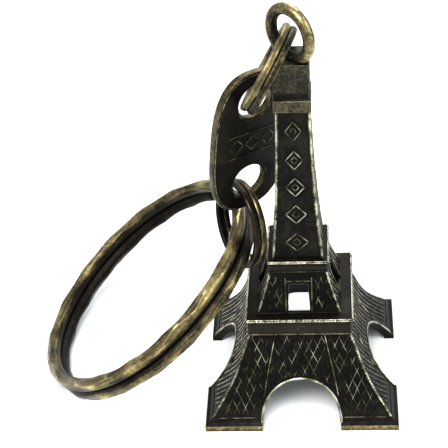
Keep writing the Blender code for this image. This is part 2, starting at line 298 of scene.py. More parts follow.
def body_profile():
    """Half widths and heights of the casting, from the feet up, with the curved stretches resampled."""
    def curve(function, low, high, steps):
        heights = [low + (high - low) * i / steps for i in range(steps + 1)]
        return [(float(function(height)), height) for height in heights]

    def deck(half, under, top, slant):
        return [
            (half - DECK_SETBACK, under + slant), (half - DECK_SETBACK, top - DECK_LIP - STEP_SLANT),
            (half, top - DECK_LIP), (half, top)]

    return [
        (BASE_HALF, 0), (BASE_HALF, PLINTH_TOP),
        *curve(LEG, LEG_FOOT, DECK_1_UNDER - STEP_SLANT, 26),
        *deck(DECK_1_HALF, DECK_1_UNDER, DECK_1_TOP, 0),
        *curve(TIER_2, DECK_1_TOP, DECK_2_UNDER, 12),
        *deck(DECK_2_HALF, DECK_2_UNDER, DECK_2_TOP, STEP_SLANT),
        *curve(SHAFT, DECK_2_TOP, COLLAR_UNDER - STEP_SLANT, 24),
        (COLLAR_HALF, COLLAR_UNDER), (COLLAR_HALF, COLLAR_TOP),
        (NECK_HALF, COLLAR_TOP + SHOULDER), (NECK_HALF, HEAD_UNDER - STEP_SLANT),
        (HEAD_HALF, HEAD_UNDER), (HEAD_HALF, HEAD_TOP),
    ]


def rounded(profile, radius):
    """The profile with its sharp corners cut back on both sides and joined through a middle point."""
    nearly_straight, largest_share = math.radians(165), 0.4
    points = [Vector(point) for point in profile]
    softened = [points[0]]
    for before, corner, after in zip(points, points[1:], points[2:]):
        back, on = before - corner, after - corner
        if back.angle(on) > nearly_straight:
            softened.append(corner)
            continue
        cut_back = min(radius, back.length * largest_share, on.length * largest_share)
        start, end = corner + back.normalized() * cut_back, corner + on.normalized() * cut_back
        softened += [start, (start + end) / 4 + corner / 2, end]
    return softened + [points[-1]]


def square_row(half, height, radius):
    """A square with rounded corners, its middle on the tower's axis."""
    row = []
    for corner in range(4):
        middle = Matrix.Rotation(corner * math.pi / 2, 2) @ Vector((half - radius, half - radius))
        for degrees in (0, 30, 60, 90):
            angle = math.radians(corner * 90 + degrees)
            row.append(TOWER_AXIS + Vector((
                middle.x + radius * math.cos(angle), middle.y + radius * math.sin(angle), height)))
    return row


def square_solid(name, profile, material, radius):
    """A solid with a square section, from (half width, height) points."""
    shape = Shape()
    rows = [square_row(half, height, min(radius, half * 0.3)) for half, height in profile]
    tube(shape, rows, [0.0] * sum(len(row) for row in rows))
    return shape.to_object(name, material, sharp=30)


def cut(item, tool):
    """Cut a tool out of a mesh and remove the tool."""
    change = item.modifiers.new(tool.name, "BOOLEAN")
    change.operation, change.solver, change.object = "DIFFERENCE", "EXACT", tool
    graph = bpy.context.evaluated_depsgraph_get()
    mesh = bpy.data.meshes.new_from_object(item.evaluated_get(graph))
    item.modifiers.clear()
    old = item.data
    item.data = mesh
    bpy.data.meshes.remove(old)
    bpy.data.objects.remove(tool, do_unlink=True)


def mirrored(right):
    """A closed (across, height) outline from its right half."""
    return [*right, *((-across, height) for across, height in reversed(right))]


def prism(name, side, depths, outlines, material):
    """A tool between two (across, height) outlines at two depths. Side 0 cuts from the front."""
    shape = Shape()
    rows = [
        [quarter_turn(side) @ Vector((across, depth, height)) + TOWER_AXIS for across, height in outline]
        for depth, outline in zip(depths, outlines)]
    tube(shape, rows, [0.0] * sum(len(row) for row in rows))
    return shape.to_object(name, material)


def arch_outline(grow=0.0, low=-1.0, steps=40):
    """The arch, from its right foot over the crown to its left foot."""
    half_width, rise = ARCH_HALF_WIDTH + grow, ARCH_RISE + grow
    angles = [math.pi * step / steps for step in range(steps + 1)]
    crown = [(half_width * math.cos(angle), ARCH_SPRING + rise * math.sin(angle)) for angle in angles]
    return [(half_width, low), *crown, (-half_width, low)]


def casting_zone(face):
    """Which material a face of the casting has, where it isn't the plain ground. Faces within skin of
    the outermost count as outside, and the feet's undersides don't."""
    skin = 0.3
    height = face.center.z / MM
    offset = face.center / MM - TOWER_AXIS
    out = max(abs(offset.x), abs(offset.y))
    if height < PLINTH_TOP and face.normal.z > -0.5 and out > BASE_HALF - skin:
        return "foot"
    if DECK_1_UNDER < height < DECK_1_TOP - DECK_LIP and out > DECK_1_HALF - skin:
        return "fascia"
    if DECK_2_UNDER < height < DECK_2_TOP - DECK_LIP and out > DECK_2_HALF - skin:
        return "fascia"
    if BAND_FROM < height < BAND_TO:
        return "band"
    if height > HEAD_FROM:
        return "head"
    return None


def tower_casting(materials):
    """The casting itself: hollow, with arches and windows."""
    ground = materials["ground"]
    body = square_solid("tower_casting", rounded(body_profile(), EDGE_ROUND), ground, CORNER_ROUND)
    leg = [(half - WALL, height - WALL / 3) for half, height in LEG_CURVE[2:]]
    hollow = [
        (BASE_HALF - WALL, -1), (BASE_HALF - WALL, PLINTH_TOP / 2), *leg,
        (TIER_2_CURVE[0][0] - WALL, DECK_1_TOP - WALL / 3), (HOLLOW_TOP_HALF, HOLLOW_TOP)]
    cut(body, square_solid("hollow", hollow, ground, HOLLOW_ROUND))
    through = (-BASE_HALF - 1, BASE_HALF + 1)
    arch = arch_outline()
    window = mirrored([(WINDOW_FOOT_HALF, WINDOW_FOOT), (WINDOW_HEAD_HALF, WINDOW_HEAD)])
    for side in range(2):
        cut(body, prism(f"arch_{side}", side, through, (arch, arch), ground))
        cut(body, prism(f"window_{side}", side, through, (window, window), ground))
    slope = mirrored(SLOPE_AT_WINDOW), mirrored(SLOPE_AT_ARCH)
    for side in range(4):
        cut(body, prism(f"slope_{side}", side, SLOPE_DEPTHS, slope, ground))
    body.data.shade_smooth()
    body.data.set_sharp_from_angle(angle=math.radians(30))
    body.modifiers.new("even shading", "WEIGHTED_NORMAL").keep_sharp = True

    zones = ("foot", "band", "head", "fascia")
    first = len(body.data.materials)
    for zone in zones:
        body.data.materials.append(materials[zone])
    for face in body.data.polygons:
        zone = casting_zone(face)
        if zone:
            face.material_index = first + zones.index(zone)
    return body


# ---- What is cast on the tower's faces ---------------------------------------------------------
# Lattices: between which heights the ridges are laid out, how far apart they stand and how far they lean
LEG_HEIGHTS, LEG_SPACING, SIDE_LEG_SPACING, LEG_LEAN = (1.4, 9.7), 0.95, 0.72, 0.47
TIER_2_HEIGHTS, TIER_2_SPACING, TIER_2_LEAN = (12.0, 16.4), 0.7, 0.45
SHAFT_HEIGHTS, SHAFT_SPACING, SHAFT_LEAN = (DECK_2_TOP + 0.5, COLLAR_UNDER - 0.4), 1.3, 0.45
LEG_WEAR_BY_SIDE, TIER_2_WEAR, SHAFT_WEAR = (0.47, 0.32, 0.47, 0.49), 0.45, 0.5

# The ridges' wear is a share of their lattice's wear
EVEN_RIDGE = Line(0.125, 0.075, 1.0, 1.1)
BOLD_RIDGE = Line(0.17, 0.13, 1.75, 0.35)
FAINT_RIDGE = Line(0.1, 0.04, 0.45, 1.0)

# What the ridges keep clear of: the corners, the arch, the decks and pedestal, and the dividers
CORNER_MARGIN, ARCH_MARGIN, LEDGE_MARGIN, DIVIDER_MARGIN = 0.4, 0.32, 0.25, 0.2
FRAME_HALF, TIER_2_CORNER_MARGIN, TIER_2_LEDGE_MARGIN = 1.75, 0.28, 0.5

# The upright line between a leg and the panel over the arch: where it stands, how it spreads downwards,
# where it ends and how far off the arch it stays
DIVIDER_ACROSS, DIVIDER_HEIGHT, DIVIDER_SPREAD = 2.75, 9.5, 0.215
DIVIDER_FOOT, DIVIDER_ARCH_GAP = 3.1, 0.3

# The arch's rim, the fillets on the pedestals and the window's frame
ARCH_RIM_OUTSET = 0.1
FILLET_START, FILLET_END = ARCH_HALF_WIDTH + 0.3, 9.6
JAMB_ACROSS, JAMB_FOOT, JAMB_TOP = 1.42, WINDOW_FOOT - 0.1, 15.9
LINTEL_HALF, LINTEL_HEIGHT = 1.4, WINDOW_HEAD + 0.35

DIVIDER_LINE = Line(0.18, 0.12, 0.68, 0.6)
ARCH_RIM = Line(0.34, 0.14, 0.9, 0.35, bead=(0.8, 0.12))
FILLET = Line(0.18, 0.08, 0.26, 0.8)
JAMB = Line(0.26, 0.15, 0.45, 0.5)
LINTEL = Line(0.2, 0.1, 0.35, 0.6)
UNDER_DECK_1 = Line(0.26, 0.16, 0.5, 0.2)
UNDER_DECK_2 = Line(0.2, 0.1, 0.3, 0.2)
LIP_1 = Line(0.26, 0.15, 1.0, 0.2, bead=(0.34, 0.5))
LIP_2 = Line(0.24, 0.13, 1.0, 0.2, bead=(0.32, 0.5))
RIM_1 = Line(0.18, 0.08, 0.85, 0.25, bead=(0.5, 0.15))
RIM_2 = Line(0.16, 0.08, 0.85, 0.25, bead=(0.5, 0.15))
LEG_CORNER = Line(0.36, 0.14, 0.74, 0.45, bead=(0.36, 0.35))
TIER_2_CORNER = Line(0.32, 0.12, 0.78, 0.45, bead=(0.32, 0.35))
SHAFT_CORNER = Line(0.46, 0.14, 0.85, 0.45, bead=(0.3, 0.4))
LIP_SUNK, CORNER_SUNK = 0.06, 0.07

# The rails under the decks: the height whose half width they stand on, and the height they run at
UNDER_DECK_1_AT = DECK_1_UNDER - 0.25, DECK_1_UNDER - 0.02
UNDER_DECK_2_AT = DECK_2_UNDER - 0.2, DECK_2_UNDER + 0.1

# How far apart a line's sections are
CORNER_STEP, BEADED_STEP, FINE_STEP = 0.08, 0.09, 0.2
LOZENGE_STEP, FILLET_STEP, PLAIN_STEP = 0.25, 0.3, 0.4

# The shaft's lozenges: (height of the middle, half width) of each, their half height, and the smaller
# one inside each, as a share of its width and a half height
LOZENGES = (34.0, 0.82), (30.45, 0.9), (27.1, 0.98), (23.7, 1.08), (20.2, 1.2)
LOZENGE_TALL, INNER_SHARE, INNER_TALL = 1.12, 0.4, 0.45
LOZENGE_LINE, INNER_LINE = Line(0.15, 0.09, 0.66, 0.6), Line(0.15, 0.09, 0.5, 0.6)


def ridge_kind(side, direction):
    """On the two side faces the ridges that rise towards the front are bold and the others faint."""
    if side % 2 == 0:
        return EVEN_RIDGE
    return BOLD_RIDGE if direction == side - 2 else FAINT_RIDGE


def lattice(shape, side, heights, spacing, lean, wear, inside):
    """Crossing diagonal ridges. inside(across, height) says where they may run."""
    step = 0.12
    rise = np.arange(*heights, step)
    # Distance along the face, so that the diamonds keep their shape where the face curves
    length = np.concatenate(([0], np.cumsum([
        math.hypot(step, half_at(z + step) - half_at(z)) for z in rise[:-1]])))
    count = int((half_at(heights[0]) + length[-1] * lean) / spacing) + 1
    for direction in (-1, 1):
        ridge = ridge_kind(side, direction)
        ridge = ridge._replace(wear=ridge.wear * wear)
        for index in range(-count, count + 1):
            run = []
            for z, along in zip(rise, length):
                across = index * spacing + direction * along * lean
                if inside(across, z):
                    run.append((across, z))
                    continue
                lay_ridge(shape, side, run, ridge)
                run = []
            lay_ridge(shape, side, run, ridge)


def lay_ridge(shape, side, run, ridge):
    """One ridge along every third point of its run, if the run is long enough to show."""
    if len(run) > 4:
        face_bar(shape, side, run[::3] + [run[-1]], ridge, RIDGE)


def arch_gap(across, height):
    """Roughly how far a point is outside the arch."""
    if height < ARCH_SPRING:
        return abs(across) - ARCH_HALF_WIDTH
    share = math.hypot(across / ARCH_HALF_WIDTH, (height - ARCH_SPRING) / ARCH_RISE)
    return (share - 1) * (ARCH_HALF_WIDTH + ARCH_RISE) / 2


def divider(height):
    """How far out the divider stands at a height."""
    return DIVIDER_ACROSS + (DIVIDER_HEIGHT - height) * DIVIDER_SPREAD


def first_tier(shape, side):
    """The legs' lattice, the dividers, the arch's rim and the fillets on the pedestals."""
    def inside(across, height):
        return (abs(across) < half_at(height) - CORNER_MARGIN
                and arch_gap(across, height) > ARCH_MARGIN
                and PEDESTAL_TOP + LEDGE_MARGIN < height < DECK_1_UNDER - LEDGE_MARGIN
                and abs(abs(across) - divider(height)) > DIVIDER_MARGIN)

    spacing = SIDE_LEG_SPACING if side % 2 else LEG_SPACING
    lattice(shape, side, LEG_HEIGHTS, spacing, LEG_LEAN, LEG_WEAR_BY_SIDE[side], inside)
    heights = np.arange(DECK_1_UNDER - LEDGE_MARGIN, DIVIDER_FOOT, -FINE_STEP)
    for sign in (-1, 1):
        upright = [
            (sign * divider(z), z) for z in heights if arch_gap(divider(z), z) > DIVIDER_ARCH_GAP]
        face_bar(shape, side, upright, DIVIDER_LINE)
        start, end = (sign * FILLET_START, PEDESTAL_TOP), (sign * FILLET_END, PEDESTAL_TOP)
        face_bar(shape, side, straight(start, end, FILLET_STEP), FILLET)
    rim = arch_outline(grow=ARCH_RIM_OUTSET, low=PLINTH_TOP)
    right, left = straight(rim[0], rim[1], FINE_STEP), straight(rim[-2], rim[-1], FINE_STEP)
    face_bar(shape, side, right[:-1] + rim[1:-1] + left[1:], ARCH_RIM)


def second_tier(shape, side):
    """The lattice beside the window, and the window's frame."""
    def inside(across, height):
        return (FRAME_HALF < abs(across) < half_at(height) - TIER_2_CORNER_MARGIN
                and DECK_1_TOP + TIER_2_LEDGE_MARGIN < height < DECK_2_UNDER - TIER_2_LEDGE_MARGIN)

    lattice(shape, side, TIER_2_HEIGHTS, TIER_2_SPACING, TIER_2_LEAN, TIER_2_WEAR, inside)
    for sign in (-1, 1):
        start, end = (sign * JAMB_ACROSS, JAMB_FOOT), (sign * JAMB_ACROSS, JAMB_TOP)
        face_bar(shape, side, straight(start, end, FINE_STEP), JAMB)
    start, end = (-LINTEL_HALF, LINTEL_HEIGHT), (LINTEL_HALF, LINTEL_HEIGHT)
    face_bar(shape, side, straight(start, end, FINE_STEP), LINTEL)


def lozenge(shape, side, middle, wide, tall, line):
    """A lozenge on the middle line of a face."""
    for start, end in lozenge_sides(0, middle, wide, tall):
        face_bar(shape, side, straight(start, end, LOZENGE_STEP), line)


def shaft_face(shape, side):
    """A run of plain lozenges up the front and back, and a lattice up the sides."""
    if side % 2 == 0:
        for middle, wide in LOZENGES:
            lozenge(shape, side, middle, wide, LOZENGE_TALL, LOZENGE_LINE)
            lozenge(shape, side, middle, wide * INNER_SHARE, INNER_TALL, INNER_LINE)
        return

    def inside(across, height):
        return abs(across) < half_at(height) - CORNER_MARGIN

    lattice(shape, side, SHAFT_HEIGHTS, SHAFT_SPACING, SHAFT_LEAN, SHAFT_WEAR, inside)


def corner_bar(shape, corner, low, high, line):
    """A beaded edge up one corner of the tower."""
    turn = quarter_turn(corner)
    points, normals = [], []
    for z in np.arange(low, high, CORNER_STEP):
        half = half_at(z) - CORNER_SUNK
        points.append(turn @ Vector((-half, -half, z)) + TOWER_AXIS)
        normals.append(turn @ Vector((-1, -1, 0)))
    bar(shape, points, normals, line)


def ledge_bar(shape, side, half, height, facing, line):
    """A bar along one side of a square ledge. facing is the way it stands out, on the front."""
    turn = quarter_turn(side)
    step = BEADED_STEP if line.bead else PLAIN_STEP
    ends = (-half, -half, height), (half, -half, height)
    path = [turn @ Vector(point) + TOWER_AXIS for point in straight(*ends, step)]
    bar(shape, path, [turn @ facing] * len(path), line)


def tower_relief(materials):
    """Everything raised on the tower's faces."""
    lines, edges = Shape(), Shape()
    for side in range(4):
        first_tier(lines, side)
        second_tier(lines, side)
        shaft_face(lines, side)
        for (wall, height), rail in ((UNDER_DECK_1_AT, UNDER_DECK_1), (UNDER_DECK_2_AT, UNDER_DECK_2)):
            ledge_bar(lines, side, half_at(wall), height, FRONTWARDS, rail)
        for half, top, lip, rim in (
                (DECK_1_HALF, DECK_1_TOP, LIP_1, RIM_1), (DECK_2_HALF, DECK_2_TOP, LIP_2, RIM_2)):
            ledge_bar(edges, side, half - LIP_SUNK, top - lip.width / 2, FRONTWARDS, lip)
            ledge_bar(edges, side, half - rim.width / 2, top, UPWARDS, rim)
        corner_bar(edges, side, PEDESTAL_TOP, DECK_1_UNDER, LEG_CORNER)
        corner_bar(edges, side, DECK_1_TOP, DECK_2_UNDER, TIER_2_CORNER)
        corner_bar(edges, side, DECK_2_TOP, COLLAR_UNDER, SHAFT_CORNER)
    return (
        lines.to_object("tower_lattice", materials["lattice"], sharp=60),
        edges.to_object("tower_edges", materials["relief"], sharp=60))


def tower_loop(material):
    """The hanging loop: a round wire, slightly uneven as cast, with painted shade on one of its flanks."""
    shape = Shape()
    around, about = 96, 24
    to_place = placement(LOOP_CENTRE, LOOP_AXIS)
    rows, wear = [], []
    for i in range(around):
        turn = 2 * math.pi * i / around
        outwards = Vector((math.cos(turn), math.sin(turn), 0))
        row = []
        for j in range(about):
            swing = 2 * math.pi * j / about
            spot = outwards * 3 + UPWARDS * swing
            wire = LOOP_WIRE * (1 - LOOP_DIP * (1 + rough(spot, 0.9, 2.0)))
            out, rise = wire * math.cos(swing), wire * math.sin(swing)
            row.append(to_place @ (outwards * (LOOP_RADIUS + out) + UPWARDS * rise))
            # Rubbed brighter outside, with painted shade on one flank
            shaded = clamped((math.sin(swing) - 0.15) / 0.5)
            wear.append(LOOP_WEAR + LOOP_OUTSIDE_WEAR * math.cos(swing) - LOOP_SHADE * shaded)
        rows.append(row)
    tube(shape, rows, wear, closed=True)
    return shape.to_object("tower_loop", material)


# ---- Split rings -------------------------------------------------------------------------------
def ring_path(radius, pitch, count):
    """The wire's middle line and angle: a flat turn, a step across, and a second flat turn."""
    start = CROSSOVER / 2 + END_GAP
    sweep = 4 * math.pi - 2 * start
    for index in range(count + 1):
        angle = start + sweep * index / count
        across = clamped((angle - (2 * math.pi - CROSSOVER / 2)) / CROSSOVER)
        rise = across * across * (3 - 2 * across) - 0.5
        yield angle, Vector((radius * math.cos(angle), radius * math.sin(angle), pitch * rise))


def wire_ring(name, transform, radius, pitch, count, section, material):
    """Sweep section(angle along the wire, height) -> [(outwards, up, wear)] round the ring."""
    shape, rows, wear = Shape(), [], []
    path = list(ring_path(radius, pitch, count))
    for index, (angle, point) in enumerate(path):
        before, after = path[max(index - 1, 0)][1], path[min(index + 1, count)][1]
        outwards = Vector((math.cos(angle), math.sin(angle), 0))
        up = outwards.cross((after - before).normalized())
        if up.z < 0:
            up.negate()
        tip = TIP_TAPER[min(index, count - index, len(TIP_TAPER) - 1)]
        loop = section(angle, point.z)
        rows.append([point + outwards * out * tip + up * rise * tip for out, rise, _ in loop])
        wear += [share for _, _, share in loop]
    tube(shape, rows, wear)
    return shape.to_object(name, material, sharp=50, transform=in_metres(transform))


def in_metres(transform):
    """The same placement for a mesh whose points are already in metres."""
    moved = transform.copy()
    moved.translation = transform.translation * MM
    return moved


def flattened(value, power):
    """A sine or cosine pushed towards 1 and -1, which turns a round section into a squarer one."""
    return math.copysign(abs(value) ** power, value)


# A link's wire: the powers that flatten it and the share of the round wire it fills, outwards and up,
# and its dents as a share of the wire
LINK_FLAT_OUT, LINK_FLAT_UP = 0.72, 0.75
LINK_FILL_OUT, LINK_FILL_UP, LINK_DENT = 0.94, 0.985, 0.025


def rolled_section(wire, pitch):
    """Wire rolled flat on its outer and inner faces, its turns pressed against each other. The first
    turn, on the ring's own -Z side, is the brighter one."""
    def section(angle, height):
        loop = []
        for step in range(LINK_SIDES):
            swing = 2 * math.pi * step / LINK_SIDES
            c, s = math.cos(swing), math.sin(swing)
            out = flattened(c, LINK_FLAT_OUT) * wire * LINK_FILL_OUT
            rise = flattened(s, LINK_FLAT_UP) * pitch / 2 * LINK_FILL_UP
            spot = Vector((math.cos(angle) * 5, math.sin(angle) * 5, swing * 0.3))
            dent = 1 - LINK_DENT * (1 + rough(spot, 0.7, 5.0))
            # Rubbed most at the four corners and outside, in streaks along the wire
            streak = rough((angle * 1.5, swing * 1.8, 0.3), 0.5, 3.0)
            crest = (2 * c * s) ** 2
            wear = 0.2 + 0.36 * crest + 0.24 * max(c, 0) + 0.22 * rough(spot, 1.4, 9.0) + 0.16 * streak
            wear -= 0.3 if height > 0 else 0.0
            loop.append((out * dent, rise, clamped(wear)))
        return loop
    return section


# Rows of hammer blows: how many degrees round the wire, from the outside towards the ring's open face,
# and how far along the wire the row is shifted, as a share of the step between blows
HAMMER_STEP = math.radians(20)
HAMMER_ROWS = (12, 0.0), (68, 0.5), (128, 0.2)
HAMMER_BITE, HAMMER_ROUNDING = 0.79, 0.9
STRAY_STEPS, STRAY_DEGREES, STRAY_BITE = 0.12, 22, 0.06
# The two turns press on each other from this sine inwards, and elsewhere the wire is a little thinner
TOUCHING_FROM, TOUCH_SHARE, OPEN_SHARE, RING_DENT = 0.8, 0.995, 0.965, 0.012
# How many degrees up from its outside each turn is brightest: rubbed most there and partly painted light,
# with painted shade on the opposite side, the ring's inside
UPPER_RUBBED_AND_LIT_AT, LOWER_RUBBED_AND_LIT_AT = 55, -5


def hammered_reach(angle, swing):
    """How far the hammered wire reaches at an angle along the ring and a direction round the wire."""
    reach = 1.0
    for row, (middle, shift) in enumerate(HAMMER_ROWS):
        nearest = round(angle / HAMMER_STEP - shift)
        for number in (nearest - 1, nearest, nearest + 1):
            stray = rough((number * 1.7, row * 5.3, 0.2), 1.0, 11.0)
            offset = angle / HAMMER_STEP - shift - number - STRAY_STEPS * stray
            lean = math.cos(swing - math.radians(middle + STRAY_DEGREES * stray))
            if lean > 0.3:
                bite = HAMMER_BITE + STRAY_BITE * stray + HAMMER_ROUNDING * offset * offset
                reach = min(reach, bite / lean)
    return reach


def hammered_section(wire, pitch):
    """Round wire hammered all over its open sides, its two turns touching."""
    touch = pitch / 2 / wire * TOUCH_SHARE

    def section(angle, height):
        upper = height > 0
        side = 1 if upper else -1
        loop = []
        for step in range(KEY_RING_SIDES):
            swing = 2 * math.pi * step / KEY_RING_SIDES
            from_outside = swing if swing <= math.pi else swing - 2 * math.pi
            reach = hammered_reach(angle, from_outside * side)
            inward = -math.sin(swing) * side
            if inward > TOUCHING_FROM:
                reach = max(reach, min(touch / inward, 1.08))
            else:
                reach = min(reach, 1.0) * OPEN_SHARE
            spot = Vector((math.cos(angle) * 14, math.sin(angle) * 14, swing * 0.8 + height))
            reach *= 1 - RING_DENT * (1 + rough(spot, 0.5, 5.0))
            # Rubbed most on the crests between blows and outside, in streaks along the wire. Each turn is
            # also brighter towards one side, partly from rubbing and partly painted light, with painted
            # shade on the ring's inside.
            crest = clamped((reach - 0.88) / 0.08)
            streak = rough((angle * 3.0, swing * 2.2, height), 0.6, 3.0)
            rubbed_and_lit = math.cos(swing - math.radians(UPPER_RUBBED_AND_LIT_AT if upper else LOWER_RUBBED_AND_LIT_AT))
            wear = 0.42 + 0.28 * crest * rubbed_and_lit + 0.16 * rubbed_and_lit + 0.3 * streak
            # Painted shade: the lower turn is darker all over, and darker still on the faces where the two
            # turns press together
            wear += 0.25 * rough(spot, 2.5, 9.0) - (0.0 if upper else 0.18) - 0.4 * max(inward, 0)
            loop.append((math.cos(swing) * wire * reach, math.sin(swing) * wire * reach, clamped(wear)))
        return loop
    return section


# ---- Tag ---------------------------------------------------------------------------------------
TAG_FACE_WEAR, TAG_EDGE_WEAR = 0.3, 0.62
TAG_RIM, TAG_RIM_INSET = Line(0.15, 0.04, 0.95, 0.7), 0.24
HOLE_RIM, HOLE_RIM_OUTSET = Line(0.15, 0.04, 0.6, 0.7), 0.22
TAG_RIM_SIDES = 140
TAG_LINE, TAG_LINE_STEP = Line(0.2, 0.07, 0.55, 0.6), 0.3
TAG_LOZENGES, TAG_LOZENGE_WIDE, TAG_LOZENGE_TALL = (-2.0, 0.0, 2.0), 0.85, 0.95
TAG_RULES, TAG_RULE_HALF = (-1.4, 1.4), 3.1


def oval(half_height, half_width, squareness, count):
    """A superellipse: squareness 2 is an ellipse, and more is squarer."""
    for index in range(count):
        angle = 2 * math.pi * index / count
        yield Vector((
            half_width * flattened(math.cos(angle), 2 / squareness),
            half_height * flattened(math.sin(angle), 2 / squareness), 0))


def tag_plate(material):
    """A stamped plate with rolled edges round its rim and its two holes."""
    curve = bpy.data.curves.new("tag_plate_outline", "CURVE")
    curve.dimensions = "2D"
    curve.fill_mode = "BOTH"
    curve.extrude = (TAG_THICKNESS / 2 - TAG_BEVEL) * MM
    curve.bevel_depth = TAG_BEVEL * MM
    curve.bevel_resolution = 3
    curve.offset = -TAG_BEVEL * MM
    outlines = [list(oval(TAG_HALF_HEIGHT, TAG_HALF_WIDTH, TAG_SQUARENESS, TAG_SIDES))]
    for sign in (-1, 1):
        hole = oval(TAG_HOLE_RADIUS, TAG_HOLE_RADIUS, 2, TAG_HOLE_SIDES)
        outlines.append([point + Vector((0, sign * TAG_HOLE_OFFSET, 0)) for point in hole])
    for outline in outlines:
        spline = curve.splines.new("POLY")
        spline.points.add(len(outline) - 1)
        for point, place in zip(spline.points, outline):
            point.co = (*(place * MM), 1)
        spline.use_cyclic_u = True
    flat = bpy.data.objects.new("tag_outline", curve)
    bpy.context.scene.collection.objects.link(flat)
    graph = bpy.context.evaluated_depsgraph_get()
    mesh = bpy.data.meshes.new_from_object(flat.evaluated_get(graph))
    bpy.data.objects.remove(flat, do_unlink=True)

    # The curve's caps are loose, so they are welded on
    welded = bmesh.new()
    welded.from_mesh(mesh)
    bmesh.ops.remove_doubles(welded, verts=welded.verts, dist=1e-7)
    bmesh.ops.recalc_face_normals(welded, faces=welded.faces)
    welded.to_mesh(mesh)
    welded.free()
    face_at = (TAG_THICKNESS / 2 - 0.01) * MM
    rubbed = mesh.attributes.new("wear", "FLOAT", "POINT")
    for vertex, value in zip(mesh.vertices, rubbed.data):
        value.value = TAG_EDGE_WEAR if abs(vertex.co.z) < face_at else TAG_FACE_WEAR
    mesh.transform(in_metres(TAG))
    mesh.shade_smooth()
    mesh.set_sharp_from_angle(angle=math.radians(35))
    mesh.materials.clear()
    mesh.materials.append(material)
    tag = bpy.data.objects.new("tag_plate_body", mesh)
    bpy.context.scene.collection.objects.link(tag)
    tag.modifiers.new("even shading", "WEIGHTED_NORMAL").keep_sharp = True
    return tag


def tag_ornament(material):
    """A plain row of small lozenges between two lines, and worn rims, on both faces of the tag."""
    shape = Shape()
    for sign in (-1, 1):
        normal, lift = Vector((0, 0, sign)), sign * TAG_THICKNESS / 2

        def line(start, end):
            path = [Vector((x, y, lift)) for x, y in straight(start, end, TAG_LINE_STEP)]
            bar(shape, path, [normal] * len(path), TAG_LINE)

        def rim(half_height, half_width, squareness, middle, line_kind):
            outline = oval(half_height, half_width, squareness, TAG_RIM_SIDES)
            path = [point + Vector((0, middle, lift)) for point in outline]
            rows, worn = bar_rows(path + path[:1], [normal] * (len(path) + 1), line_kind)
            tube(shape, rows[:-1], worn[:-len(DOME)], closed=True)

        rim(TAG_HALF_HEIGHT - TAG_RIM_INSET, TAG_HALF_WIDTH - TAG_RIM_INSET, TAG_SQUARENESS, 0, TAG_RIM)
        for middle in (-TAG_HOLE_OFFSET, TAG_HOLE_OFFSET):
            radius = TAG_HOLE_RADIUS + HOLE_RIM_OUTSET
            rim(radius, radius, 2, middle, HOLE_RIM)
        for x in TAG_LOZENGES:
            for start, end in lozenge_sides(x, 0, TAG_LOZENGE_WIDE, TAG_LOZENGE_TALL):
                line(start, end)
        for y in TAG_RULES:
            line((-TAG_RULE_HALF, y), (TAG_RULE_HALF, y))
    return shape.to_object("tag_ornament", material, sharp=60, transform=in_metres(TAG))


# ---- Materials ---------------------------------------------------------------------------------
# From the deepest patina to the brightest metal
GROUND = (0.0045, 0.0041, 0.0035)
EARTH, OLIVE, PALE = (0.0195, 0.0175, 0.0128), (0.138, 0.122, 0.068), (0.60, 0.575, 0.46)
UMBER, OCHRE, GOLD = (0.0215, 0.0172, 0.0108), (0.149, 0.118, 0.054), (0.67, 0.54, 0.23)
COOL, WARM = (GROUND, EARTH, OLIVE, PALE), (GROUND, UMBER, OCHRE, GOLD)
STOPS = 0.0, 0.28, 0.58, 1.0

# Scales of the grains; width and gain of the rubbed edges; reach and strength of the dirt in corners;
# metallic and roughness from patina to bright metal; and the pits
PATCH_SCALE, FLECK_SCALE, FINE_SCALE = 420.0, 2600.0, 9000.0
EDGE_WIDTH, EDGE_GAIN = 0.12, 9.0
DIRT_DEPTH, DIRT = 0.5, 0.55
METALLIC, ROUGHNESS, UNEVEN_GLOSS = (0.8, 1.0), (0.52, 0.26), 0.25
PIT_STRENGTH, PIT_DEPTH = 0.5, 0.05
SPECULAR = 0.15

# base is how rubbed a material is all over, span how much the mesh's own wear adds, edge how bright its
# edges are, and mottle, flecks and specks how much it varies from the coarsest grain to the finest
LOOKS = {
    "ground": dict(base=0.06, edge=0.45),
    "foot": dict(base=0.56, edge=0.45, flecks=0.9, specks=0.6, palette=WARM, seed=0.11),
    "band": dict(base=0.36, edge=0.5, mottle=0.35, seed=0.23),
    "head": dict(base=0.3, edge=0.2, flecks=0.4, mottle=0.22, seed=0.31),
    "fascia": dict(base=0.22, edge=0.2, flecks=0.4, mottle=0.2, seed=0.35),
    "lattice": dict(base=0.02, span=0.95, flecks=0.7, seed=0.37),
    "relief": dict(base=0.0, span=1.0, flecks=1.2, specks=1.6, seed=0.43),
    "loop": dict(base=0.04, span=0.72, flecks=0.9, specks=0.5, palette=WARM, seed=0.57),
    "link": dict(base=0.1, span=0.74, palette=WARM, seed=0.61),
    "dark_link": dict(base=-0.03, span=0.8, palette=WARM, seed=0.67),
    "tag": dict(base=-0.14, span=0.82, edge=0.4, palette=WARM, seed=0.73),
    "tag_lines": dict(base=-0.05, span=0.7, flecks=0.9, seed=0.79),
    "ring": dict(base=0.075, span=0.8, specks=0.5, palette=WARM, seed=0.83),
}


